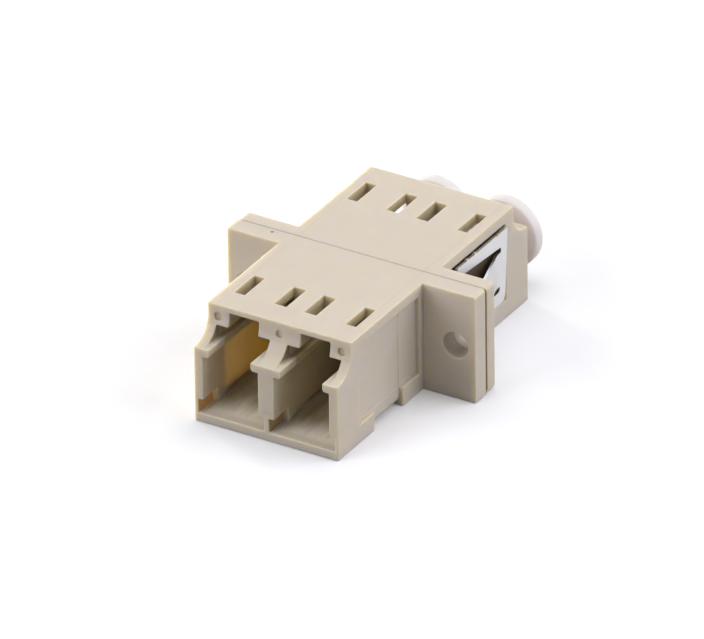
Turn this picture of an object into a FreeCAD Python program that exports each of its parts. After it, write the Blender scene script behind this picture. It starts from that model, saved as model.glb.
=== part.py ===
import FreeCAD, Part
import os

import Sketcher
from FreeCAD import Placement, Rotation, Vector

# Duplex LC fibre adapter, in millimetres.
#
# Row frame: the origin is midway between the two mounting holes, on the rear face of the flange, which
# seats on the panel. +X runs along the flange, +Y from the front ports to the rear ports, +Z up.
#
# Each half is drawn in a local frame with the seam at y = 0 and its port mouths towards -Y, so the
# rear half, its clip and its caps are the same drawings turned half a turn about Z.

DIMENSIONS = [
    # shell
    ("body_width", 12.7),
    ("body_height", 9.3),
    ("upper_reach", 12.1),            # seam to the end face above the ledge
    ("lower_reach", 14.28),           # seam to the end face below the ledge
    ("end_curve_radius", 2.1),        # hollow curve from the upper end face down to the ledge
    ("edge_radius", 0.15),
    ("middle_wall", 1.0),             # each half's share of the wall between front and rear ports
    # flange
    ("flange_width", 22.0),
    ("front_flange", 1.6),
    ("rear_flange", 1.3),
    ("front_corner_radius", 0.2),
    ("rear_corner_radius", 0.4),
    ("screw_pitch", 18.4),
    ("screw_hole_radius", 1.1),
    ("groove_width", 0.1),            # each half's share of the seam groove on the flange ends
    ("groove_depth", 0.15),
    ("groove_stop", 0.4),             # the groove ends this far above the underside
    # ports, as distances from the mid-plane x = 0 and heights from mid-height
    ("port_pitch", 6.25),
    ("port_height", -1.17),           # height of the ferrule axis
    ("port_inner", 0.69),
    ("port_outer", 5.57),
    ("port_floor", -3.4),
    ("ledge_bottom", 1.06),
    ("ledge_top", 1.8),
    ("ledge_inner", 1.33),
    ("ledge_outer", 5.0),
    ("ledge_radius", 0.25),
    ("shoulder_inner", 0.78),         # channel for the shoulders of a plug's latch
    ("shoulder_outer", 5.5),
    ("shoulder_top", 2.95),
    ("latch_inner", 1.85),            # narrower channel for the latch's lever
    ("latch_outer", 4.45),
    ("latch_top", 4.13),
    ("mouth_inner", 0.23),            # wider, deeper step at the foot of each mouth
    ("mouth_outer", 6.03),
    ("mouth_floor", -3.85),
    ("ramp_end", 8.5),                # seam to the inner end of the ramp up from the mouth's floor
    ("mouth_top", -2.68),
    # windows in the top, where the latch shoulders catch
    ("window_near", 6.83),
    ("window_far", 9.78),
    ("window_width", 0.93),
    # round marks left by the ejector pins
    ("mark_radius", 0.36),
    ("mark_depth", 0.12),
    ("mark_height", 3.6),
    ("mark_offset", 5.45),
    # clip recess
    ("recess_depth", 0.4),
    ("recess_step_depth", 0.35),      # depth between flange and strap passage on the front half
    ("recess_near", 2.05),
    ("recess_far", 10.95),
    ("recess_top", 3.68),
    ("recess_corner_radius", 0.3),    # upper corner of the recess away from the flange
    ("foot_top", -3.05),
    ("strap_near", 4.65),
    ("strap_far", 8.8),
    ("strap_corner_radius", 0.4),
    ("foot_radius", 0.45),
    # barrels and sleeves
    ("barrel_radius", 1.35),
    ("barrel_reach", 4.8),
    ("ferrule_entry_radius", 0.7),
    ("sleeve_length", 6.8),
    ("sleeve_radius", 0.81),
    ("sleeve_bore_radius", 0.625),
    ("sleeve_slit", 0.25),
    ("sleeve_room", 0.05),            # radial and end room round the sleeve in its barrel
    # clip
    ("clip_gap", 0.03),
    ("clip_sheet", 0.25),
    ("clip_near", 3.35),              # room for a 2 mm panel between it and the flange
    ("clip_far", 10.85),
    ("clip_top", 3.3),
    ("clip_splay", 0.33),             # how far the top of each plate leans out past its foot
    ("clip_corner_radius", 0.6),
    ("tongue_height", 0.15),          # middle of the tongue above the flange's middle
    ("tongue_slot_half", 1.98),
    ("tongue_half_width", 1.54),
    ("tongue_near", 4.2),
    ("tongue_root", 9.95),
    ("tongue_bend", 9.2),
    ("tongue_rise", 1.6),
    # dust caps
    ("cap_disc_radius", 3.0),
    ("cap_disc_near", 15.95),
    ("cap_disc_far", 17.0),
    ("cap_disc_rise", 0.55),          # the disc's centre above the stem's axis
    ("cap_stem_radius", 2.1),
    ("cap_bore_radius", 1.45),
    ("cap_stem_near", 5.2),
    ("cap_floor", 0.7),
]

doc = FreeCAD.newDocument("lc_duplex_adapter")


def make_sheet():
    """Put the driving dimensions into the sheet that every expression reads."""
    sheet = doc.addObject("Spreadsheet::Sheet", "Dims")
    for row, (alias, value) in enumerate(DIMENSIONS, start=1):
        sheet.set(f"A{row}", alias)
        sheet.set(f"B{row}", str(value))
        sheet.setAlias(f"B{row}", alias)
    doc.recompute()
    return sheet


sheet = make_sheet()


def value_of(expression):
    """The number that an expression on the sheet gives."""
    return float(sheet.evalExpression(expression))


# ---------------------------------------------------------------- drawing helpers

def new_body(label):
    body = doc.addObject("PartDesign::Body", label)
    body.Label = label
    return body


def new_sketch(body, name, plane, offset="0"):
    """A sketch on one of the body's origin planes, moved along the plane's normal by an expression."""
    sketch = body.newObject("Sketcher::SketchObject", name)
    support = next(item for item in body.Origin.OriginFeatures if item.Role == plane)
    sketch.AttachmentSupport = [(support, "")]
    sketch.MapMode = "FlatFace"
    sketch.setExpression(".AttachmentOffset.Base.z", offset)
    return sketch


def fix_point(sketch, geometry, end, across, along):
    """Hold a point of the sketch at two expressions, measured from the sketch's origin."""
    for kind, axis, expression in (("DistanceX", -2, across), ("DistanceY", -1, along)):
        distance = value_of(expression)
        if distance == 0:
            sketch.addConstraint(Sketcher.Constraint("PointOnObject", geometry, end, axis))
        else:
            index = sketch.addConstraint(Sketcher.Constraint(kind, -1, 1, geometry, end, distance))
            sketch.setExpression(f"Constraints[{index}]", expression)


def polygon(sketch, corners):
    """A closed outline through corners, each a pair of expressions."""
    points = [Vector(value_of(across), value_of(along), 0) for across, along in corners]
    following = points[1:] + points[:1]
    lines = [sketch.addGeometry(Part.LineSegment(start, end)) for start, end in zip(points, following)]
    for line, next_line in zip(lines, lines[1:] + lines[:1]):
        sketch.addConstraint(Sketcher.Constraint("Coincident", line, 2, next_line, 1))
    for line, (across, along) in zip(lines, corners):
        fix_point(sketch, line, 1, across, along)


def rectangle(sketch, left, right, low, high):
    polygon(sketch, [(left, low), (right, low), (right, high), (left, high)])


def circle(sketch, across, along, radius):
    centre = Vector(value_of(across), value_of(along), 0)
    ring = sketch.addGeometry(Part.Circle(centre, Vector(0, 0, 1), value_of(radius)))
    fix_point(sketch, ring, 3, across, along)
    index = sketch.addConstraint(Sketcher.Constraint("Radius", ring, value_of(radius)))
    sketch.setExpression(f"Constraints[{index}]", radius)


def pad(body, sketch, length, both_ways=False):
    """Add material along the sketch's normal, or half the length to each side of it."""
    feature = body.newObject("PartDesign::Pad", sketch.Name + "_pad")
    feature.Profile = sketch
    feature.setExpression("Length", length)
    feature.Midplane = both_ways
    sketch.Visibility = False
    doc.recompute()
    return feature


def pocket(body, sketch, length, along_normal=False, both_ways=False):
    """Cut against the sketch's normal, along it, or both ways, and see that material went."""
    before = body.Shape.Volume
    feature = body.newObject("PartDesign::Pocket", sketch.Name + "_cut")
    feature.Profile = sketch
    feature.setExpression("Length", length)
    feature.Reversed = along_normal
    feature.Midplane = both_ways
    doc.recompute()
    if not body.Shape.Volume < before:
        raise RuntimeError(f"{feature.Name} cut nothing")
    return feature


def edges_where(shape, keep):
    """Names of the straight edges for which keep(direction, midpoint) is true."""
    names = []
    for number, edge in enumerate(shape.Edges, start=1):
        if edge.Degenerated or edge.Curve.TypeId != "Part::GeomLine":
            continue
        middle = edge.valueAt((edge.FirstParameter + edge.LastParameter) / 2)
        if keep(edge.Curve.Direction, middle):
            names.append(f"Edge{number}")
    return names


def round_edges(body, name, radius, keep):
    """Fillet the straight edges that keep() picks on the body's present tip."""
    tip = body.Tip
    names = edges_where(tip.Shape, keep)
    if not names:
        raise RuntimeError(f"{name} found no edge")
    fillet = body.newObject("PartDesign::Fillet", name)
    fillet.Base = (tip, names)
    fillet.setExpression("Radius", radius)
    doc.recompute()
    return fillet


def near(first, second):
    return abs(first - second) < 1e-4


def runs_along(direction, axis):
    return abs(abs(getattr(direction, axis)) - 1) < 1e-6


# ---------------------------------------------------------------- housings

def add_shell(body):
    """The outer block: full length below the ledge, shorter above it, joined by a hollow curve."""
    side = new_sketch(body, body.Label + "_side", "YZ_Plane")
    polygon(side, [
        ("0", "-Dims.body_height / 2"),
        ("0", "Dims.body_height / 2"),
        ("-Dims.upper_reach", "Dims.body_height / 2"),
        ("-Dims.upper_reach", "Dims.ledge_top"),
        ("-Dims.lower_reach", "Dims.ledge_top"),
        ("-Dims.lower_reach", "-Dims.body_height / 2"),
    ])
    pad(body, side, "Dims.body_width", both_ways=True)
    corner = value_of("-Dims.upper_reach")
    ledge = value_of("Dims.ledge_top")
    round_edges(body, body.Label + "_end_curve", "Dims.end_curve_radius",
                lambda way, at: runs_along(way, "x") and near(at.y, corner) and near(at.z, ledge))
    long_edge = value_of("Dims.body_width / 2")
    top = value_of("Dims.body_height / 2")
    round_edges(body, body.Label + "_long_edges", "Dims.edge_radius",
                lambda way, at: runs_along(way, "y") and near(abs(at.x), long_edge) and near(abs(at.z), top))


def add_flange(body, thickness, corner_radius):
    """The half flange, with rounded ends, one screw hole each side and the seam groove."""
    plate = new_sketch(body, body.Label + "_flange", "XZ_Plane")
    rectangle(plate, "-Dims.flange_width / 2", "Dims.flange_width / 2",
              "-Dims.body_height / 2", "Dims.body_height / 2")
    pad(body, plate, thickness)
    end = value_of("Dims.flange_width / 2")
    round_edges(body, body.Label + "_flange_corners", corner_radius,
                lambda way, at: runs_along(way, "y") and near(abs(at.x), end))
    face = value_of(f"-{thickness}")
    round_edges(body, body.Label + "_flange_ends", "Dims.edge_radius",
                lambda way, at: runs_along(way, "z") and near(abs(at.x), end) and near(at.y, face))
    holes = new_sketch(body, body.Label + "_screw_holes", "XZ_Plane")
    groove = new_sketch(body, body.Label + "_seam_groove", "XZ_Plane")
    bottom, above = "Dims.groove_stop - Dims.body_height / 2", "Dims.body_height / 2 + 1"
    for side in ("", "-"):
        circle(holes, f"{side}Dims.screw_pitch / 2", "0", "Dims.screw_hole_radius")
        inside = f"{side}(Dims.flange_width / 2 - Dims.groove_depth)"
        rectangle(groove, inside, f"{side}(Dims.flange_width / 2 + 1)", bottom, above)
    pocket(body, holes, thickness, along_normal=True)
    pocket(body, groove, "Dims.groove_width", along_normal=True)


def port_outline(side):
    """One port's section, from its floor up through the ledges to the latch channel."""
    steps = [
        ("port_outer", "port_floor"), ("port_outer", "ledge_bottom"),
        ("ledge_outer", "ledge_bottom"), ("ledge_outer", "ledge_top"),
        ("shoulder_outer", "ledge_top"), ("shoulder_outer", "shoulder_top"),
        ("latch_outer", "shoulder_top"), ("latch_outer", "latch_top"),
        ("latch_inner", "latch_top"), ("latch_inner", "shoulder_top"),
        ("shoulder_inner", "shoulder_top"), ("shoulder_inner", "ledge_top"),
        ("ledge_inner", "ledge_top"), ("ledge_inner", "ledge_bottom"),
        ("port_inner", "ledge_bottom"), ("port_inner", "port_floor"),
    ]
    return [(f"{side}Dims.{across}", f"Dims.{along}") for across, along in steps]


def cut_ports(body):
    """Both ports, from the middle wall out to the mouth, and the wider step at each mouth."""
    ports = new_sketch(body, body.Label + "_ports", "XZ_Plane", "Dims.middle_wall")
    mouths = new_sketch(body, body.Label + "_mouths", "XZ_Plane", "Dims.upper_reach")
    for side in ("", "-"):
        polygon(ports, port_outline(side))
        rectangle(mouths, side + "Dims.mouth_inner", side + "Dims.mouth_outer",
                  "Dims.mouth_floor", "Dims.mouth_top")
    pocket(body, ports, "Dims.lower_reach", along_normal=True)
    pocket(body, mouths, "Dims.lower_reach", along_normal=True)
    for side in ("", "-"):
        name = body.Label + ("_left_ramp" if side else "_right_ramp")
        ramp = new_sketch(body, name, "YZ_Plane", side + "(Dims.port_inner + Dims.port_outer) / 2")
        polygon(ramp, [("-Dims.upper_reach", "Dims.mouth_floor"), ("-Dims.upper_reach", "Dims.port_floor"),
                       ("-Dims.ramp_end", "Dims.port_floor")])
        pocket(body, ramp, "Dims.port_outer - Dims.port_inner", both_ways=True)
    low = value_of("Dims.ledge_bottom")
    lips = (value_of("Dims.ledge_inner"), value_of("Dims.ledge_outer"))

    def is_lip(way, at):
        return runs_along(way, "y") and near(at.z, low) and any(near(abs(at.x), lip) for lip in lips)

    round_edges(body, body.Label + "_ledge_lips", "Dims.ledge_radius", is_lip)


def cut_windows(body):
    """Four windows in the top, over the two edges of each latch channel."""
    windows = new_sketch(body, body.Label + "_windows", "XY_Plane", "Dims.body_height / 2")
    spans = (("Dims.shoulder_inner", "Dims.latch_inner"),
             ("Dims.latch_outer", "(Dims.latch_outer + Dims.window_width)"))
    for side in ("", "-"):
        for inner, outer in spans:
            rectangle(windows, side + inner, side + outer, "-Dims.window_far", "-Dims.window_near")
    pocket(body, windows, "Dims.body_height / 2 - (Dims.shoulder_top + Dims.ledge_top) / 2")


def cut_marks(body):
    """Three shallow ejector marks across the upper end face."""
    marks = new_sketch(body, body.Label + "_marks", "XZ_Plane", "Dims.upper_reach + 1")
    for across in ("-Dims.mark_offset", "0", "Dims.mark_offset"):
        circle(marks, across, "Dims.mark_height", "Dims.mark_radius")
    pocket(body, marks, "1 + Dims.mark_depth")


def cut_clip_recess(body, step_depth):
    """Shallow recess on both sides for the clip's plates, and a passage under the floor for its strap."""
    floor = "(Dims.body_width / 2 - Dims.recess_depth)"
    step = f"(Dims.body_width / 2 - {step_depth})"
    outside = "(Dims.body_width / 2 + 1)"
    by_flange = new_sketch(body, body.Label + "_recess_by_flange", "XZ_Plane", "Dims.recess_near")
    plates = new_sketch(body, body.Label + "_recess", "XZ_Plane", "Dims.strap_near")
    for side in ("", "-"):
        rectangle(by_flange, side + step, side + outside, "Dims.foot_top", "Dims.recess_top")
        rectangle(plates, side + floor, side + outside, "Dims.foot_top", "Dims.recess_top")
    pocket(body, by_flange, "Dims.strap_near - Dims.recess_near", along_normal=True)
    pocket(body, plates, "Dims.recess_far - Dims.strap_near", along_normal=True)
    end, top = value_of("-Dims.recess_far"), value_of("Dims.recess_top")
    round_edges(body, body.Label + "_recess_corners", "Dims.recess_corner_radius",
                lambda way, at: runs_along(way, "x") and near(at.y, end) and near(at.z, top))
    strap = new_sketch(body, body.Label + "_strap_passage", "XZ_Plane", "Dims.strap_near")
    under = "-Dims.body_height / 2 - 1"
    roof = "Dims.recess_depth - Dims.body_height / 2"
    polygon(strap, [
        ("-" + outside, "Dims.foot_top"), ("-" + outside, under),
        (outside, under), (outside, "Dims.foot_top"),
        (floor, "Dims.foot_top"), (floor, roof),
        ("-" + floor, roof), ("-" + floor, "Dims.foot_top"),
    ])
    pocket(body, strap, "Dims.strap_far - Dims.strap_near", along_normal=True)
    wall, ceiling = value_of(floor), value_of(roof)
    round_edges(body, body.Label + "_strap_corners", "Dims.strap_corner_radius",
                lambda way, at: runs_along(way, "y") and near(abs(at.x), wall) and near(at.z, ceiling))
    sole = value_of("-Dims.body_height / 2")
    heel = value_of("-Dims.strap_far")
    round_edges(body, body.Label + "_foot_corner", "Dims.foot_radius",
                lambda way, at: runs_along(way, "x") and near(at.y, heel) and near(at.z, sole))


def add_barrels(body):
    """The moulded barrels, bored for the sleeves, with a lip at each tip that keeps the sleeve in."""
    barrels = new_sketch(body, body.Label + "_barrels", "XZ_Plane", "Dims.middle_wall")
    rooms = new_sketch(body, body.Label + "_sleeve_rooms", "XZ_Plane")
    entries = new_sketch(body, body.Label + "_ferrule_entries", "XZ_Plane")
    for side in ("", "-"):
        axis = f"{side}Dims.port_pitch / 2"
        circle(barrels, axis, "Dims.port_height", "Dims.barrel_radius")
        circle(rooms, axis, "Dims.port_height", "Dims.sleeve_radius + Dims.sleeve_room")
        circle(entries, axis, "Dims.port_height", "Dims.ferrule_entry_radius")
    pad(body, barrels, "Dims.barrel_reach - Dims.middle_wall")
    pocket(body, rooms, "Dims.sleeve_length / 2 + Dims.sleeve_room", along_normal=True)
    pocket(body, entries, "Dims.barrel_reach", along_normal=True)


def make_housing(label, flange_thickness, corner_radius, step_depth):
    body = new_body(label)
    add_shell(body)
    add_flange(body, flange_thickness, corner_radius)
    cut_ports(body)
    cut_windows(body)
    cut_marks(body)
    cut_clip_recess(body, step_depth)
    add_barrels(body)
    return body


# ---------------------------------------------------------------- sleeves, clip and caps

def make_sleeve(label):
    """A split sleeve, centred on the seam, with its slit upwards."""
    body = new_body(label)
    ring = new_sketch(body, label + "_ring", "XZ_Plane")
    circle(ring, "0", "0", "Dims.sleeve_radius")
    circle(ring, "0", "0", "Dims.sleeve_bore_radius")
    pad(body, ring, "Dims.sleeve_length", both_ways=True)
    slit = new_sketch(body, label + "_slit", "XZ_Plane")
    rectangle(slit, "-Dims.sleeve_slit / 2", "Dims.sleeve_slit / 2", "0", "2 * Dims.sleeve_radius")
    pocket(body, slit, "2 * Dims.sleeve_length", both_ways=True)
    return body


def make_clip(label):
    """One bent strip: two side plates, a strap under the floor, and a tongue sprung out of each plate."""
    body = new_body(label)
    inner = "(Dims.body_width / 2 - Dims.recess_depth + Dims.clip_gap)"
    outer = f"({inner} + Dims.clip_sheet)"
    top_of_strap = "(Dims.recess_depth - Dims.clip_gap - Dims.body_height / 2)"
    underside = "(Dims.recess_depth - Dims.clip_gap - Dims.clip_sheet - Dims.body_height / 2)"
    plate_bottom = "(Dims.foot_top + Dims.clip_gap)"
    channel = new_sketch(body, label + "_channel", "XZ_Plane", "Dims.clip_near")
    polygon(channel, [
        (f"({outer} + Dims.clip_splay)", "Dims.clip_top"), (outer, underside),
        ("-" + outer, underside), (f"-({outer} + Dims.clip_splay)", "Dims.clip_top"),
        (f"-({inner} + Dims.clip_splay)", "Dims.clip_top"), ("-" + inner, top_of_strap),
        (inner, top_of_strap), (f"({inner} + Dims.clip_splay)", "Dims.clip_top"),
    ])
    pad(body, channel, "Dims.clip_far - Dims.clip_near")
    for name, across, along, radius in (
            ("_inner_bends", inner, top_of_strap, "Dims.strap_corner_radius"),
            ("_outer_bends", outer, underside, "Dims.strap_corner_radius + Dims.clip_sheet")):
        wall, height = value_of(across), value_of(along)
        round_edges(body, label + name, radius,
                    lambda way, at: runs_along(way, "y") and near(abs(at.x), wall) and near(at.z, height))

    below = "-Dims.body_height"
    trims = new_sketch(body, label + "_trims", "YZ_Plane")
    rectangle(trims, "-Dims.clip_far - 1", "Dims.clip_gap - Dims.strap_far", below, plate_bottom)
    rectangle(trims, "-Dims.strap_near - Dims.clip_gap", "1 - Dims.clip_near", below, plate_bottom)
    rectangle(trims, "-Dims.tongue_root", "-Dims.tongue_near",
              "Dims.tongue_height - Dims.tongue_slot_half", "Dims.tongue_height + Dims.tongue_slot_half")
    pocket(body, trims, "2 * Dims.body_width", both_ways=True)
    end, low = value_of("-Dims.clip_far"), value_of(plate_bottom)
    round_edges(body, label + "_plate_corners", "Dims.clip_corner_radius",
                lambda way, at: runs_along(way, "x") and near(at.y, end) and near(at.z, low))

    lean = f"Dims.clip_splay * (Dims.tongue_height - {underside}) / (Dims.clip_top - {underside})"
    tongues = new_sketch(body, label + "_tongues", "XY_Plane", "Dims.tongue_height")
    for side in ("", "-"):
        polygon(tongues, [
            (f"{side}({outer} + {lean})", "-Dims.tongue_root - Dims.clip_sheet"),
            (f"{side}({outer} + {lean})", "-Dims.tongue_bend"),
            (f"{side}({outer} + {lean} + Dims.tongue_rise)", "-Dims.tongue_near"),
            (f"{side}({inner} + {lean} + Dims.tongue_rise)", "-Dims.tongue_near"),
            (f"{side}({inner} + {lean})", "-Dims.tongue_bend"),
            (f"{side}({inner} + {lean})", "-Dims.tongue_root - Dims.clip_sheet"),
        ])
    pad(body, tongues, "2 * Dims.tongue_half_width", both_ways=True)
    return body


def make_cap(label):
    """A soft cap: a thin-walled stem that goes over the barrel, and a round disc to pull it by."""
    body = new_body(label)
    stem = new_sketch(body, label + "_stem", "XZ_Plane", "Dims.cap_stem_near")
    circle(stem, "0", "0", "Dims.cap_stem_radius")
    pad(body, stem, "Dims.cap_disc_far - Dims.cap_stem_near")
    disc = new_sketch(body, label + "_disc", "XZ_Plane", "Dims.cap_disc_near")
    circle(disc, "0", "Dims.cap_disc_rise", "Dims.cap_disc_radius")
    pad(body, disc, "Dims.cap_disc_far - Dims.cap_disc_near")
    bore = new_sketch(body, label + "_bore", "XZ_Plane", "Dims.cap_stem_near")
    circle(bore, "0", "0", "Dims.cap_bore_radius")
    pocket(body, bore, "Dims.cap_disc_far - Dims.cap_floor - Dims.cap_stem_near", along_normal=True)
    return body


# ---------------------------------------------------------------- assembly

def place(body, turned, across="0", height="0"):
    """Set a local drawing down in the row frame, turned half a turn when it belongs to the rear."""
    body.Placement = Placement(Vector(0, 0, 0), Rotation(Vector(0, 0, 1), 180 if turned else 0))
    body.setExpression(".Placement.Base.x", across)
    body.setExpression(".Placement.Base.y", "-Dims.rear_flange")
    body.setExpression(".Placement.Base.z", height)
    doc.recompute()


def build():
    front = make_housing("front_housing", "Dims.front_flange",
                         "Dims.front_corner_radius", "Dims.recess_step_depth")
    place(front, turned=False)
    rear = make_housing("rear_housing", "Dims.rear_flange",
                        "Dims.rear_corner_radius", "Dims.recess_depth")
    place(rear, turned=True)
    clip = make_clip("panel_clip")
    place(clip, turned=True)
    parts = [front, rear, clip]
    for word, side in (("left", "-"), ("right", "")):
        across = side + "Dims.port_pitch / 2"
        sleeve = make_sleeve("split_sleeve_" + word)
        place(sleeve, turned=False, across=across, height="Dims.port_height")
        cap = make_cap("dust_cap_" + word)
        place(cap, turned=True, across=across, height="Dims.port_height")
        parts += [sleeve, cap]
    return parts


def check(parts):
    """Stop before writing anything if an object failed or a sub-part isn't one sound solid."""
    for item in doc.Objects:
        if "Invalid" in item.State or "Error" in item.State:
            raise RuntimeError(f"{item.Name} failed: {item.State}")
    for body in parts:
        shape = body.Shape
        if shape.isNull() or not shape.isValid() or len(shape.Solids) != 1:
            raise RuntimeError(f"{body.Label} isn't one valid solid")


def write(parts):
    os.makedirs("parts", exist_ok=True)
    for body in parts:
        body.Shape.exportStep(f"parts/{body.Label}.step")
        box = body.Shape.BoundBox
        print(f"{body.Label}: {body.Shape.Volume:.2f} mm3, x {box.XMin:.2f} {box.XMax:.2f}, "
              f"y {box.YMin:.2f} {box.YMax:.2f}, z {box.ZMin:.2f} {box.ZMax:.2f}")


parts = build()
doc.recompute()
check(parts)
write(parts)
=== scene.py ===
from math import cos, pi, radians, sin

import bmesh
import bpy
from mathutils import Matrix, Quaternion, Vector


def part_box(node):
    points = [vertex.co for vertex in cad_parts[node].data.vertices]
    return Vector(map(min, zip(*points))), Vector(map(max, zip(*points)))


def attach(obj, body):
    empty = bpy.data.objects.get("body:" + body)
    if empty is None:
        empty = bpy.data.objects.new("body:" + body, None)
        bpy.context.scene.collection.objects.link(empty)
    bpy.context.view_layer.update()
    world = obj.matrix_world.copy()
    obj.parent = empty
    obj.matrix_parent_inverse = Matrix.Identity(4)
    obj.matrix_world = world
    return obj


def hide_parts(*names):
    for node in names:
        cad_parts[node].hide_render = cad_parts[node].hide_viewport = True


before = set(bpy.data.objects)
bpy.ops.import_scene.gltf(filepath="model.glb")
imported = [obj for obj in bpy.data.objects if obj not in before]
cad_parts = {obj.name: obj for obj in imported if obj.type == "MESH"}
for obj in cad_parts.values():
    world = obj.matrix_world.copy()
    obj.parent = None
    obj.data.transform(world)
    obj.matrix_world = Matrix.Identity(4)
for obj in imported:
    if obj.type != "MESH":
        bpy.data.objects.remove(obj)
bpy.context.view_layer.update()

# ---------------------------------------------------------------- housing halves
# The adapter's shell: two halves injection-moulded in a warm beige engineering plastic, thin enough at
# the port walls to glow when light is behind it. They meet at the flange, where they are welded round
# the two ceramic sleeves. Both come from almost the same mould, the rear half turned half a turn.
# Each is drawn in millimetres with the seam at y = 0 and its ports towards -Y, then set down in metres.

MM = 0.001
front_low, front_high = (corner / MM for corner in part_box("front_housing"))
seam = front_high.y
half_flange = front_high.x
half_height = front_high.z
lower_reach = seam - front_low.y          # seam to the end face below the ledge
upper_reach = 12.1                        # seam to the end face above the ledge
half_width = 6.35
ledge_low, ledge_top = 1.06, 1.8
end_curve = 2.0                           # hollow curve from the upper end face down to the ledge
port_axis = 3.125, -1.17                  # across and up, for the right-hand port
nose_inner, nose_outer = 0.69, 5.57       # side walls of the room for the plug's nose
hollow_inner, hollow_outer = 0.78, 5.5    # and of the room above it, for the latch's shoulders
window_low = 2.38
lip_low, lip_top, lip_round = -2.78, -2.43, 0.25         # rounded lip above the wide foot of each mouth
screw_pitch, screw_radius = 18.4, 1.1
seat_depth, seat_step = 0.35, 0.05        # the clip's seat in each side, and its deeper middle
seat_top, seat_far, foot_top = 3.68, 10.95, -3.05
strap_near, strap_far, strap_depth = 4.65, 8.8, 0.4      # where the clip's strap crosses the underside
edge_round, sharp = 0.09, radians(32)


def add_block(name, low, high):
    """A block between two corners, the only thing selected."""
    low, high = Vector(low), Vector(high)
    bpy.ops.object.select_all(action="DESELECT")
    bpy.ops.mesh.primitive_cube_add(size=1, location=(low + high) / 2, scale=high - low)
    bpy.ops.object.transform_apply(location=True, rotation=True, scale=True)
    bpy.context.object.name = name
    return bpy.context.object


def add_rod(name, radius, start, end, sides=48):
    """A round rod along Y between two points."""
    start, end = Vector(start), Vector(end)
    bpy.ops.object.select_all(action="DESELECT")
    bpy.ops.mesh.primitive_cylinder_add(vertices=sides, radius=radius, depth=(end - start).length,
                                        location=(start + end) / 2, rotation=(pi / 2, 0, 0))
    bpy.ops.object.transform_apply(location=True, rotation=True, scale=True)
    bpy.context.object.name = name
    return bpy.context.object


def near(first, second):
    """Equal to within a thousandth of a millimetre."""
    return abs(first - second) < 1e-3


def pick_faces(piece, wanted):
    """In edit mode, select only the faces whose centre and normal pass the test."""
    mesh = bmesh.from_edit_mesh(piece.data)
    bpy.ops.mesh.select_all(action="DESELECT")
    bpy.ops.mesh.select_mode(type="FACE")
    for face in mesh.faces:
        face.select_set(wanted(face.calc_center_median(), face.normal))
    bmesh.update_edit_mesh(piece.data)


def pick_edges(piece, wanted):
    """In edit mode, select only the edges whose middle and direction pass the test."""
    mesh = bmesh.from_edit_mesh(piece.data)
    bpy.ops.mesh.select_all(action="DESELECT")
    bpy.ops.mesh.select_mode(type="EDGE")
    for edge in mesh.edges:
        start, end = (corner.co for corner in edge.verts)
        edge.select_set(wanted((start + end) / 2, (end - start).normalized()))
    bmesh.update_edit_mesh(piece.data)


def split(piece, point, normal):
    """Cut every face where it crosses a plane, and keep both sides."""
    bpy.ops.mesh.select_all(action="SELECT")
    bpy.ops.mesh.bisect(plane_co=point, plane_no=normal)


def push(move):
    """Extrude the picked faces as one region."""
    bpy.ops.mesh.extrude_region_move(TRANSFORM_OT_translate={"value": move})


def apply_modifier(piece, kind, **settings):
    bpy.context.view_layer.objects.active = piece
    modifier = piece.modifiers.new(kind.lower(), kind)
    for name, value in settings.items():
        setattr(modifier, name, value)
    bpy.ops.object.modifier_apply(modifier=modifier.name)


def combine(piece, tools, operation="DIFFERENCE"):
    """Take each tool out of the piece, or join it on, and throw the tool away."""
    for tool in tools:
        apply_modifier(piece, "BOOLEAN", object=tool, operation=operation, solver="EXACT")
        bpy.data.objects.remove(tool)


def round_off(piece, width, segments=2):
    """Round every sharp edge by the same small radius, as a mould or a press leaves it."""
    apply_modifier(piece, "BEVEL", width=width, segments=segments, limit_method="ANGLE",
                   angle_limit=sharp, use_clamp_overlap=False)


def choose(piece):
    """Make the piece active and the only thing selected."""
    bpy.ops.object.select_all(action="DESELECT")
    piece.select_set(True)
    bpy.context.view_layer.objects.active = piece


def smooth(piece):
    """Shade the rounded edges smooth and keep the flats flat."""
    choose(piece)
    bpy.ops.object.shade_smooth_by_angle(angle=radians(38))
    apply_modifier(piece, "WEIGHTED_NORMAL", keep_sharp=True, weight=80)


def set_down(piece, turned, across=0.0, height=0.0):
    """Bring a drawing in millimetres to its place in the frame, in metres."""
    choose(piece)
    piece.scale = (MM, MM, MM)
    piece.rotation_euler.z = pi if turned else 0
    piece.location = Vector((across, seam, height)) * MM
    bpy.ops.object.transform_apply(location=True, rotation=True, scale=True)


def mould_outside(name, thickness, corner):
    """The solid L-shaped body with its half of the flange."""
    piece = add_block(name, (-half_width, -lower_reach, -half_height), (half_width, 0, ledge_top))
    bpy.ops.object.mode_set(mode="EDIT")
    split(piece, (0, -upper_reach, 0), (0, 1, 0))
    pick_faces(piece, lambda at, normal: normal.z > 0.9 and at.y > -upper_reach)
    push((0, 0, half_height - ledge_top))
    pick_edges(piece, lambda at, way: near(at.y, -upper_reach) and near(at.z, ledge_top) and near(at.x, 0))
    bpy.ops.mesh.bevel(offset=end_curve, segments=12)
    bpy.ops.object.mode_set(mode="OBJECT")
    flange = add_block("flange", (-half_flange, -thickness, -half_height), (half_flange, 0, half_height))
    bpy.ops.object.mode_set(mode="EDIT")
    pick_edges(flange, lambda at, way: abs(way.y) > 0.9)
    bpy.ops.mesh.bevel(offset=corner, segments=4)
    bpy.ops.object.mode_set(mode="OBJECT")
    combine(piece, [flange], "UNION")
    return piece


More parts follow.
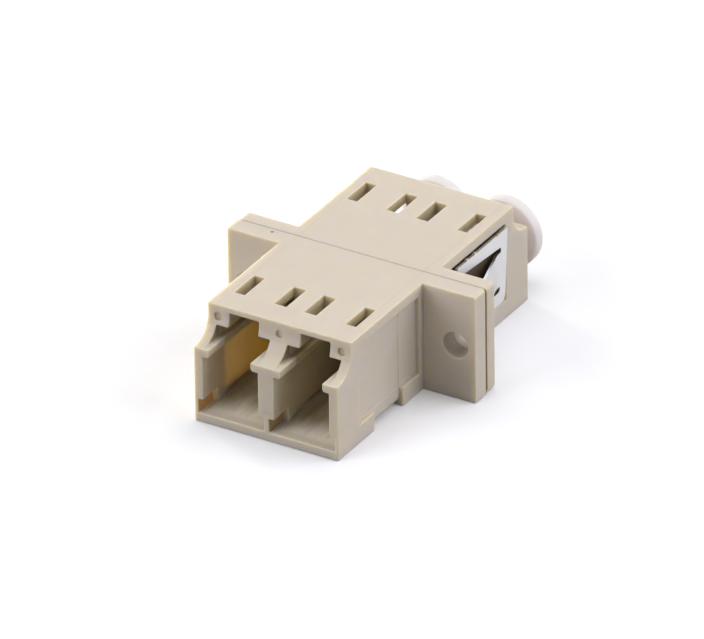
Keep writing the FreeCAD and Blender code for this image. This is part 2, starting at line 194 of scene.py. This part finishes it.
def port_cores(side):
    """The cores that leave one port empty, from the middle wall to the mouth, and its two windows."""
    inner_wall = 1.0
    past_end = lower_reach + 1
    for inner, outer, low, high, start, end in (
            (nose_inner, nose_outer, -3.4, ledge_low, inner_wall, past_end),
            (1.33, 5.0, ledge_low - 0.1, ledge_top + 0.1, inner_wall, past_end),
            (hollow_inner, hollow_outer, ledge_top, 2.95, inner_wall, past_end),
            (1.85, 4.45, 2.85, 3.72, inner_wall, past_end),                 # for the latch's lever
            (1.85, 4.45, 3.6, 4.13, 9.9, past_end),                         # and for its raised end
            (0.23, 6.03, -3.85, -2.68, upper_reach, past_end),              # wider foot of the mouth
            (0.78, 1.85, window_low, half_height + 1, 6.83, 9.78),          # two windows in the top
            (4.45, 5.37, window_low, half_height + 1, 6.83, 9.78)):
        left, right = sorted((side * inner, side * outer))
        yield add_block("core", (left, -end, low), (right, -start, high))
    left, right = sorted((side * nose_inner, side * nose_outer))
    ramp = add_block("floor_ramp", (left, -upper_reach, -3.85), (right, -8.5, -3.2))
    bpy.ops.object.mode_set(mode="EDIT")
    pick_edges(ramp, lambda at, way: near(at.y, -8.5) and near(at.z, -3.85))
    bpy.ops.transform.translate(value=(0, 0, 0.45))
    bpy.ops.object.mode_set(mode="OBJECT")
    yield ramp
    wall = -nose_inner if side < 0 else nose_outer          # only the right-hand side of each port has it
    middle = wall + lip_round
    lip = add_block("lip", (wall - 0.1, -past_end, lip_low), (middle, -upper_reach, lip_top))
    combine(lip, [add_rod("round", lip_round, (middle, -past_end - 1, lip_top), (middle, 0, lip_top))])
    yield lip


def clip_seat_cores():
    """The shallow seat for the clip's plates on both sides, and the passage for its strap below."""
    beyond = half_width + 1
    for side in (-1, 1):
        left, right = sorted((side * (half_width - seat_depth), side * beyond))
        for start, end, low, high in (
                (2.05, strap_near + 0.5, foot_top, seat_top),
                (strap_near, seat_far, foot_top, seat_top),
                (strap_near, strap_far, -half_height - 1, foot_top + 0.1)):
            yield add_block("seat", (left, -end, low), (right, -start, high))
    yield add_block("strap_passage", (-beyond, -strap_far, -half_height - 1),
                    (beyond, -strap_near, strap_depth - half_height))


def screw_drill(side, thickness):
    """A plain round hole through the flange, its mouth rounded by a small radius."""
    rim, steps = 0.12, 5
    across = side * screw_pitch / 2
    drill = add_rod("screw_drill", screw_radius, (across, rim - thickness, 0), (across, 1, 0), 64)
    bpy.ops.object.mode_set(mode="EDIT")
    for step in range(1, steps + 1):
        before, after = (0.5 * pi * count / steps for count in (step - 1, step))
        pick_faces(drill, lambda at, normal: normal.y < -0.9)
        push((0, rim * (sin(before) - sin(after)), 0))
        growth = (screw_radius + rim * (1 - cos(after))) / (screw_radius + rim * (1 - cos(before)))
        bpy.ops.transform.resize(value=(growth, 1, growth))
    push((0, -1, 0))
    bpy.ops.object.mode_set(mode="OBJECT")
    return drill


def fine_cores(thickness, has_pit):
    """What is cut last, so its edges stay sharp: screw holes, seam grooves, the seat's step, mould marks."""
    beyond = half_flange + 1
    for low, high in ((half_height - 0.12, half_height + 1), (-half_height - 1, 0.12 - half_height)):
        yield add_block("weld_line", (-beyond, -0.03, low), (beyond, 1, high))
    for side in (-1, 1):
        yield screw_drill(side, thickness)
        left, right = sorted((side * (half_flange - 0.15), side * beyond))
        yield add_block("seam_groove", (left, -0.13, 0.4 - half_height), (right, 1, half_height + 1))
        left, right = sorted((side * (half_width - seat_depth - seat_step), side * (half_width + 1)))
        yield add_block("seat_step", (left, -10.83, -2.97), (right, -strap_near, 3.58))
    for across in (-5.45, 0, 5.45):
        yield add_rod("ejector_mark", 0.36, (across, -lower_reach, 3.6), (across, 0.18 - upper_reach, 3.6))
    if has_pit:
        yield add_block("gate_pit", (-7.78, -0.6, half_height - 0.35), (-7.5, -0.3, half_height + 1))
    yield add_block("parting_line", (-0.55, -lower_reach - 1, -2.25), (0.55, 0.04 - lower_reach, -2.2))


def mould_housing(name, thickness, corner, has_pit):
    """One half of the shell, with its ports, windows, barrels, screw holes and clip seat."""
    piece = mould_outside(name, thickness, corner)
    combine(piece, clip_seat_cores())
    for side in (-1, 1):
        across, height = side * port_axis[0], port_axis[1]
        combine(piece, port_cores(side))
        combine(piece, [add_rod("barrel", 1.35, (across, -4.8, height), (across, -0.5, height))], "UNION")
        combine(piece, [
            add_rod("sleeve_room", 0.86, (across, -3.45, height), (across, 1, height)),
            add_rod("ferrule_entry", 0.7, (across, -6, height), (across, 1, height)),
        ])

    bpy.ops.object.mode_set(mode="EDIT")
    bpy.ops.mesh.select_all(action="SELECT")
    bpy.ops.mesh.remove_doubles(threshold=0.0005)
    bpy.ops.mesh.dissolve_limited(angle_limit=radians(0.5))
    for radius, wanted in (
            (0.25, lambda at, way: abs(way.y) > 0.9 and near(at.z, ledge_low)
                and (near(abs(at.x), 1.33) or near(abs(at.x), 5.0))),
            (0.4, lambda at, way: abs(way.y) > 0.9 and near(abs(at.x), half_width - seat_depth)
                and near(at.z, strap_depth - half_height)),
            (0.33, lambda at, way: abs(way.x) > 0.9 and near(at.y, -strap_far) and near(at.z, -half_height)),
            (0.3, lambda at, way: abs(way.x) > 0.9 and near(at.y, -seat_far) and near(at.z, seat_top)),
            (0.15, lambda at, way: near(at.y, -lower_reach)
                and (abs(way.x) > 0.9 and near(at.z, -half_height)
                     or abs(way.z) > 0.5 and near(abs(at.x), half_width)))):
        pick_edges(piece, wanted)
        bpy.ops.mesh.bevel(offset=radius, segments=5)
    bpy.ops.mesh.select_all(action="DESELECT")
    bpy.ops.mesh.edges_select_sharp(sharpness=sharp)
    bpy.ops.transform.edge_bevelweight(value=1)
    # No room for a round at the feathered foot of each hollow, nor where each rounded lip starts.
    pick_edges(piece, lambda at, way: at.y < -13.3 and ledge_top - 0.01 < at.z < ledge_top + 0.35
               and (near(abs(at.x), hollow_inner) or near(abs(at.x), hollow_outer))
               or near(at.y, -upper_reach) and lip_top - 0.26 < at.z < lip_top + 0.01)
    bpy.ops.transform.edge_bevelweight(value=-1)
    bpy.ops.object.mode_set(mode="OBJECT")
    apply_modifier(piece, "BEVEL", width=edge_round, segments=2, limit_method="WEIGHT",
                   use_clamp_overlap=False)
    combine(piece, fine_cores(thickness, has_pit))
    smooth(piece)
    return piece


front_shell = mould_housing("front_shell", 1.6, 0.2, has_pit=True)
set_down(front_shell, turned=False)
rear_shell = mould_housing("rear_shell", 1.3, 0.4, has_pit=False)
set_down(rear_shell, turned=True)


class Wire:
    """One output inside a material. Sums on it add the Math nodes that they stand for."""

    def __init__(self, tree, socket=None):
        self.tree = tree
        self.socket = socket

    def node(self, kind, settings, sockets, output=0):
        """Add any other node: first its settings, then the values or wires of its sockets."""
        made = self.tree.nodes.new(kind)
        for name, value in settings.items():
            setattr(made, name, value)
        for name, value in sockets.items():
            if isinstance(value, Wire):
                self.tree.links.new(value.socket, made.inputs[name])
            else:
                made.inputs[name].default_value = value
        return Wire(self.tree, made.outputs[output] if made.outputs else None)

    def maths(self, operation, *values):
        return self.node("ShaderNodeMath", {"operation": operation}, dict(enumerate(values)))

    def __add__(self, other):
        return self.maths("ADD", self, other)

    def __sub__(self, other):
        return self.maths("SUBTRACT", self, other)

    def __rsub__(self, other):
        return self.maths("SUBTRACT", other, self)

    def __mul__(self, other):
        return self.maths("MULTIPLY", self, other)

    def __abs__(self):
        return self.maths("ABSOLUTE", self)

    __radd__ = __add__
    __rmul__ = __mul__

    def millimetres(self, stretch=(1, 1, 1)):
        """The place on the piece in millimetres, squeezed along each axis by the stretch."""
        scale = tuple(1 / (MM * factor) for factor in stretch)
        place = self.node("ShaderNodeTexCoord", {}, {}, "Object")
        return self.node("ShaderNodeMapping", {}, {"Vector": place, "Scale": scale})

    def noise(self, place, per_millimetre, detail=2.0):
        return self.node("ShaderNodeTexNoise", {},
                         {"Vector": place, "Scale": per_millimetre, "Detail": detail})

    def mix(self, factor, first, second):
        blend = {"data_type": "RGBA"}
        return self.node("ShaderNodeMix", blend, {"Factor": factor, 6: first, 7: second}, 2)

    def line(self, distance, half_width, fade):
        """1 as far as the half width, then falling smoothly to 0 over the fade."""
        return self.node("ShaderNodeMapRange", {"interpolation_type": "SMOOTHSTEP"},
                         {"Value": distance, "From Min": half_width, "From Max": half_width + fade,
                          "To Min": 1.0, "To Max": 0.0})

    def relief(self, height, depth):
        """Bump whose full height is the depth, in millimetres."""
        return self.node("ShaderNodeBump", {}, {"Height": height, "Distance": depth * MM, "Strength": 1.0})

    def finish(self, shader):
        self.node("ShaderNodeOutputMaterial", {}, {"Surface": shader})


def new_material(name):
    material = bpy.data.materials.new(name)
    material.use_nodes = True
    material.node_tree.nodes.clear()
    return material, Wire(material.node_tree)


def beige_plastic():
    """Satin moulding with a fine eroded skin. Inside the ports the moulding cores had a high polish, so there
    the plastic is glossier, and its colour there is deeper and warmer as painted shade of the cavities. On
    the ports' floors soft streaks stand for both the flow of the melt and painted sheen, and a painted pool
    of light lies near each mouth. The sides of the hollows and the seats behind the clips carry painted
    shade, and the walls at the foot of each mouth carry a painted orange glow."""
    material, wire = new_material("beige_plastic")
    place = wire.millimetres()
    axes = wire.node("ShaderNodeSeparateXYZ", {}, {"Vector": place})
    across, along, up = (Wire(wire.tree, axes.socket.node.outputs[axis]) for axis in "XYZ")
    from_seam = abs(along - seam)
    grain = wire.noise(place, 9, 4.0)
    flow = wire.noise(place, 0.45)
    streaks = wire.noise(wire.millimetres((0.6, 2.4, 1.0)), 0.9, 3.0)

    # Where the cores were: 1 inside the ports, fading out towards the mouth, and 0 outside. There the
    # plastic is glossier and takes a deeper colour that is painted shade of the cavities.
    from_port = abs(abs(across) - port_axis[0])
    behind_ends = wire.line(from_seam, upper_reach - 0.2, 0.1)
    shoulders = wire.line(abs(up - window_low), 0.48, 0.04)
    in_mouth = wire.maths("MAXIMUM", shoulders, wire.line(up, 0.9, 0.1))
    in_mouth = in_mouth * wire.line(from_seam, 13.1, 0.8)
    gloss_and_painted_light = wire.line(from_port, 2.45, 0.03) * wire.line(abs(up - 0.3), 4.2, 0.1)
    gloss_and_painted_light = gloss_and_painted_light * wire.maths("MAXIMUM", behind_ends, in_mouth)

    # The side walls at the foot of each mouth get a painted orange glow, standing for light through the thin
    # walls there, and the sides of the hollows get painted shade.
    painted_foot_glow = wire.line(abs(from_port - 2.9), 0.03, 0.03) * wire.line(abs(up + 3.25), 0.62, 0.02)
    painted_foot_glow = painted_foot_glow * wire.line(abs(from_seam - 13.15), 1.0, 0.05)
    gloss_and_painted_light = wire.maths("MAXIMUM", gloss_and_painted_light, painted_foot_glow)
    painted_hollow_shade = shoulders * (1 - behind_ends) * wire.line(from_port, 2.37, 0.02)

    # The ports' floors, which get painted shade and a painted pool of light; the seats in the sides, darkened
    # as painted shade behind the clips; two lines along the top; and the weld round the flange.
    on_floor = wire.line(up, -3.3, 0.05)
    # Painted shade on the seat behind each clip, where the plates and tongues keep light off.
    painted_seat_shade = wire.line(abs(abs(across) - half_width + 0.38), 0.06, 0.02)
    painted_seat_shade = painted_seat_shade * wire.line(up, 3.6, 0.1) * wire.line(abs(along - seam - 6.5), 4.2, 0.1)
    on_top = wire.line(half_height - up, 0.2, 0.1)
    insert_line = wire.line(abs(abs(across) - 5.55), 0.02, 0.02) * on_top
    at_ends = wire.maths("GREATER_THAN", abs(across), half_flange - 0.2)
    weld = wire.line(from_seam - at_ends * 0.08, 0.05, 0.04)

    skin = wire.mix(flow, (0.655, 0.574, 0.458, 1), (0.685, 0.612, 0.498, 1))
    skin = wire.mix(insert_line * 0.25, skin, (0.45, 0.38, 0.27, 1))
    skin = wire.mix(weld * (0.4 + at_ends * 0.3), skin, (0.33, 0.23, 0.12, 1))
    # Inside the ports the colour is deeper and warmer: painted shade of the cavities.
    core = wire.mix(grain, (0.59, 0.50, 0.335, 1), (0.63, 0.54, 0.365, 1))
    # A painted pool of light on each floor near the mouth, and streaks that stand for flow marks and painted
    # sheen.
    floor_streaks_and_painted_light = (wire.line(13.2 - from_seam, 0.0, 2.8) * 0.8 + (streaks - 0.35) * 1.1) * on_floor
    # The floors are darkened as painted shade, then the painted light and streaks are laid over them.
    core = wire.mix(floor_streaks_and_painted_light, wire.mix(on_floor, core, (0.40, 0.32, 0.19, 1)), (0.86, 0.79, 0.64, 1))
    # Painted orange glow on the walls at the foot of each mouth.
    core = wire.mix(painted_foot_glow, core, (0.46, 0.33, 0.17, 1))
    # Painted shade on the sides of the hollows, where the roof keeps light off.
    core = wire.mix(painted_hollow_shade, core, (0.35, 0.29, 0.19, 1))
    # The seat behind each clip is darkened as painted shade.
    skin = wire.mix(painted_seat_shade, skin, (0.16, 0.12, 0.07, 1))
    roughness = 0.40 + grain * 0.16
    gloss = 0.30 + grain * 0.10
    wire.finish(wire.node("ShaderNodeBsdfPrincipled", {}, {
        "Base Color": wire.mix(gloss_and_painted_light, skin, core),
        "Roughness": roughness + gloss_and_painted_light * (gloss - roughness),
        "Normal": wire.relief(grain, 0.013),
        "Subsurface Weight": 1.0,
        "Subsurface Radius": (1.0, 0.90, 0.35),
        "Subsurface Scale": 0.82 * MM,
        "IOR": 1.5,
    }))
    return material


plastic = beige_plastic()
for shell, node in ((front_shell, "front_housing"), (rear_shell, "rear_housing")):
    shell.data.materials.clear()
    shell.data.materials.append(plastic)
    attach(shell, "adapter")
    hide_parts(node)

# ---------------------------------------------------------------- split sleeves
# Two slit tubes of polished white zirconia that line up the plugs' ferrules. They lie loose in the
# barrels and are trapped when the halves are welded, so their plain form is the frame's own.

material, wire = new_material("zirconia")
cloud = wire.noise(wire.millimetres(), 2.0)
wire.finish(wire.node("ShaderNodeBsdfPrincipled", {}, {
    "Base Color": wire.mix(cloud, (0.84, 0.83, 0.79, 1), (0.90, 0.89, 0.86, 1)),
    "Roughness": 0.08 + cloud * 0.08,
    "Subsurface Weight": 0.3,
    "Subsurface Scale": 0.2 * MM,
}))
for side in ("left", "right"):
    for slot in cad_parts["split_sleeve_" + side].material_slots:
        slot.material = material

# ---------------------------------------------------------------- panel clip
# One strip of spring stainless steel, blanked, bent into a U and pushed on from below. A tongue is cut
# out of each plate and sprung outwards: it gives as the panel passes and then holds it to the flange.

sheet, splay = 0.25, 0.33                 # the plates lean out by the splay at their tops
play = 0.03                               # between the clip and its seat
clip_outside = half_width - (seat_depth + seat_step) + play + sheet
clip_low, clip_high = (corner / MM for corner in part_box("panel_clip"))
clip_near, clip_far = clip_low.y - seam, clip_high.y - seam      # distances from the seam
strap_low, plate_top = clip_low.z, clip_high.z + 0.15
strap_bend, plate_foot = 0.65, -3.02
tongue_height, tongue_root, tongue_tip = 0.15, 9.95, 4.2
half_tongue, half_slot, stub_rise = 1.54, 1.98, 0.12
lean = splay / (plate_top - strap_low)
beyond = half_width + 1

clip = add_block("spring_clip", (-clip_outside, -clip_far, strap_low), (clip_outside, -clip_near, plate_top))
bpy.ops.object.mode_set(mode="EDIT")
pick_faces(clip, lambda at, normal: normal.z > 0.9 or abs(normal.y) > 0.9)
bpy.ops.mesh.delete(type="FACE")
for side in (-1, 1):
    pick_edges(clip, lambda at, way: abs(way.y) > 0.9 and near(at.z, plate_top) and at.x * side > 0)
    bpy.ops.transform.translate(value=(side * splay, 0, 0))
pick_edges(clip, lambda at, way: abs(way.y) > 0.9 and near(at.z, strap_low))
bpy.ops.mesh.bevel(offset=strap_bend, segments=7)
bpy.ops.object.mode_set(mode="OBJECT")
apply_modifier(clip, "SOLIDIFY", thickness=sheet, offset=-1, use_even_offset=True)
combine(clip, [
    add_block("trim", (-beyond, -clip_far - 1, strap_low - 1), (beyond, play - strap_far, plate_foot)),
    add_block("trim", (-beyond, -strap_near - play, strap_low - 1), (beyond, 0, plate_foot)),
])
for side in (-1, 1):
    left, right = sorted((side * (clip_outside - sheet), side * (clip_outside + splay)))
    slot = add_block("tongue_slot", (left - 1, -tongue_root, tongue_height - half_slot),
                     (right + 1, -tongue_tip, tongue_height + half_slot))
    bpy.ops.object.mode_set(mode="EDIT")
    for up in (-1, 1):
        corner = tongue_height + up * half_slot
        pick_edges(slot, lambda at, way: near(at.y, -tongue_tip) and near(at.z, corner))
        bpy.ops.transform.translate(value=(0, 0, up * 0.4))
    pick_edges(slot, lambda at, way: abs(way.x) > 0.9)
    bpy.ops.mesh.bevel(offset=0.2, segments=4)
    bpy.ops.object.mode_set(mode="OBJECT")
    combine(clip, [slot])
    middle = clip_outside + lean * (tongue_height - strap_low)
    left, right = sorted((side * (middle - sheet), side * middle))
    tongue = add_block("tongue", (left, -tongue_root - 0.3, tongue_height - half_tongue),
                       (right, 0.2 - tongue_root, tongue_height + half_tongue))
    bpy.ops.object.mode_set(mode="EDIT")
    for up in (-1, 1):
        pick_faces(tongue, lambda at, normal: normal.z * up > 0.9)
        bpy.ops.transform.translate(value=(side * up * lean * half_tongue, 0, 0))
    for rise, run in ((0.02, 0.25), (0.07, 0.35), (0.12, 0.4), (0.2, 0.6), (1.19, 3.95)):     # a gentle bend
        pick_faces(tongue, lambda at, normal: normal.y > 0.7)
        push((side * rise, run, 0))
    bpy.ops.object.mode_set(mode="OBJECT")
    combine(clip, [tongue], "UNION")
bpy.ops.object.mode_set(mode="EDIT")
bpy.ops.mesh.select_all(action="SELECT")
bpy.ops.mesh.remove_doubles(threshold=0.002)
bpy.ops.mesh.dissolve_limited(angle_limit=radians(0.2))
pick_edges(clip, lambda at, way: near(at.y, -clip_far) and near(at.z, plate_foot) and abs(way.x) > 0.9)
bpy.ops.mesh.bevel(offset=0.6, segments=6)
pick_edges(clip, lambda at, way: near(at.y, -clip_far) and at.z > plate_top - 0.05 and abs(way.x) > 0.9)
bpy.ops.mesh.bevel(offset=0.12, segments=3)
bpy.ops.object.mode_set(mode="OBJECT")
round_off(clip, 0.025)
for side in (-1, 1):
    left, right = sorted((side * (clip_outside + splay - sheet + 0.02), side * (clip_outside + splay - 0.02)))
    for at in (4.85, 6.05):
        combine(clip, [add_block("carrier_stub", (left, -at - 0.1, plate_top - 0.1),
                                 (right, 0.1 - at, plate_top + stub_rise))], "UNION")
    combine(clip, [add_block("nick", (left - 1, -9.43, plate_top - 0.07), (right + 1, -9.27, plate_top + 1))])
choose(clip)
bpy.ops.object.mode_set(mode="EDIT")
bpy.ops.mesh.select_all(action="SELECT")
bpy.ops.mesh.fill_holes(sides=6)                       # a hairline where a tongue leaves its plate
bpy.ops.object.mode_set(mode="OBJECT")
smooth(clip)
set_down(clip, turned=True)

material, wire = new_material("spring_steel")
streaks = wire.noise(wire.millimetres((0.12, 2.5, 0.12)), 1.6, 4.0)
cloud = wire.noise(wire.millimetres(), 0.8)
wire.finish(wire.node("ShaderNodeBsdfPrincipled", {}, {
    "Base Color": wire.mix(cloud, (0.84, 0.83, 0.84, 1), (0.90, 0.89, 0.90, 1)),
    "Metallic": 1.0,
    "Roughness": 0.24 + streaks * 0.14,
    "Normal": wire.relief(streaks, 0.002),
}))
clip.data.materials.clear()
clip.data.materials.append(material)
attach(clip, "adapter")
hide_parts("panel_clip")

# ---------------------------------------------------------------- dust caps
# Two soft caps of milky polyethylene, moulded in one piece. A hollow stem grips the barrel inside the
# port and keeps dust off the ferrule's seat, and a thick round disc stands out to be pulled.

cap_rise = 0.55                           # the disc's centre above the stem's axis
stem_radius, disc_radius, bore_radius = 2.1, 3.0, 1.45
disc_thickness, disc_edge, disc_web = 1.05, 0.16, 0.7
for side, name in ((-1, "left"), (1, "right")):
    cap_low, cap_high = (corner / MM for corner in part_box("dust_cap_" + name))
    stem_end, disc_back = seam - cap_low.y, seam - cap_high.y
    disc_face = disc_back + disc_thickness
    cap = add_rod("pull_cap_" + name, disc_radius, (0, disc_back, cap_rise), (0, disc_face, cap_rise), 96)
    bpy.ops.object.mode_set(mode="EDIT")
    pick_edges(cap, lambda at, way: abs(way.y) < 0.5)
    bpy.ops.mesh.bevel(offset=disc_edge, segments=4)
    pick_faces(cap, lambda at, normal: normal.y > 0.99)
    bpy.ops.mesh.inset(thickness=disc_radius - disc_edge - stem_radius)
    bpy.ops.transform.translate(value=(0, 0, -cap_rise))
    push((0, stem_end - disc_face, 0))
    bpy.ops.mesh.inset(thickness=stem_radius - bore_radius)
    push((0, disc_back + disc_web - stem_end, 0))
    bpy.ops.object.mode_set(mode="OBJECT")
    round_off(cap, 0.08)
    smooth(cap)
    set_down(cap, True, side * port_axis[0], port_axis[1])
    cap.data.materials.clear()
    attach(cap, name + "_cap")
    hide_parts("dust_cap_" + name)

material, wire = new_material("milky_polyethylene")
place = wire.millimetres()
ripple = wire.noise(place, 0.9)
grain = wire.noise(place, 9, 3.0)
wire.finish(wire.node("ShaderNodeBsdfPrincipled", {}, {
    "Base Color": wire.mix(ripple, (0.74, 0.685, 0.655, 1), (0.79, 0.74, 0.71, 1)),
    "Roughness": 0.36 + grain * 0.12,
    "Normal": wire.relief(grain, 0.005),
    "Subsurface Weight": 1.0,
    "Subsurface Radius": (1.0, 0.85, 0.75),
    "Subsurface Scale": 2.2 * MM,
}))
for name in ("pull_cap_left", "pull_cap_right"):
    bpy.data.objects[name].data.materials.append(material)

# ---------------------------------------------------------------- table, lights and camera
# The adapter lies on white paper under one broad soft lamp overhead, a little behind it. A small lamp
# low on the left shines through the port walls, and two weak ones fill in from the front and the right.
# It is seen from a long way off through a very long lens.

table_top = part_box("rear_housing")[0].z
bpy.ops.mesh.primitive_plane_add(size=4, location=(0, 0, table_top))
table = bpy.context.object
table.name = "table"

material, wire = new_material("white_paper")
fibres = wire.noise(wire.millimetres(), 0.5)
seen = wire.node("ShaderNodeLightPath", {}, {}, "Is Camera Ray")
mirrored = wire.node("ShaderNodeLightPath", {}, {}, "Is Glossy Ray")
white = wire.mix(fibres, (0.90, 0.90, 0.90, 1), (0.94, 0.94, 0.94, 1))
lit = wire.node("ShaderNodeBsdfDiffuse", {}, {"Color": wire.mix(seen, (0.27, 0.27, 0.27, 1), white)})
glow = wire.mix(mirrored, (0, 0, 0, 1), (0.5, 0.5, 0.5, 1))
glow = wire.mix(seen, glow, (0.05, 0.05, 0.05, 1))
glowing = wire.node("ShaderNodeEmission", {}, {"Color": glow})
wire.finish(wire.node("ShaderNodeAddShader", {}, {0: lit, 1: glowing}))
table.data.materials.append(material)

scene = bpy.context.scene
world = bpy.data.worlds.new("studio")
scene.world = world
world.use_nodes = True
world.node_tree.nodes["Background"].inputs["Color"].default_value = (0.95, 0.98, 1.08, 1)
world.node_tree.nodes["Background"].inputs["Strength"].default_value = 0.28

for name, place, size, watts, colour in (
        ("overhead_lamp", (-0.06, 0.07, 0.5), 0.45, 1.12, (1.0, 0.98, 0.93)),
        ("left_lamp", (-0.46, 0.17, 0.02), 0.06, 3.0, (1.0, 0.98, 0.95)),
        ("front_lamp", (-0.3, -0.45, 0.3), 0.4, 1.75, (0.98, 0.98, 1.06)),
        ("right_lamp", (0.45, 0.2, 0.3), 0.55, 2.4, (0.98, 0.98, 1.08))):
    light = bpy.data.lights.new(name, "AREA")
    light.shape = "SQUARE"
    light.size = size
    light.energy = watts
    light.color = colour
    holder = bpy.data.objects.new(name, light)
    scene.collection.objects.link(holder)
    holder.location = place
    holder.rotation_euler = Vector(place).to_track_quat("Z", "Y").to_euler()

azimuth, elevation, roll = radians(31.185), radians(29.819), radians(-0.766)
distance = 1.2737
away = Vector((sin(azimuth) * cos(elevation), -cos(azimuth) * cos(elevation), sin(elevation)))
turn = away.to_track_quat("Z", "Y") @ Quaternion((0, 0, 1), roll)
aim = turn @ Vector((-1.422 * MM, -1.551 * MM, 0))       # the point in the middle of the picture
camera = bpy.data.objects.new("camera", bpy.data.cameras.new("camera"))
scene.collection.objects.link(camera)
camera.location = aim + away * distance
camera.rotation_mode = "QUATERNION"
camera.rotation_quaternion = turn
camera.data.sensor_width = 36
camera.data.lens = 853.2
camera.data.clip_end = 10
scene.camera = camera
scene.view_settings.view_transform = "Standard"
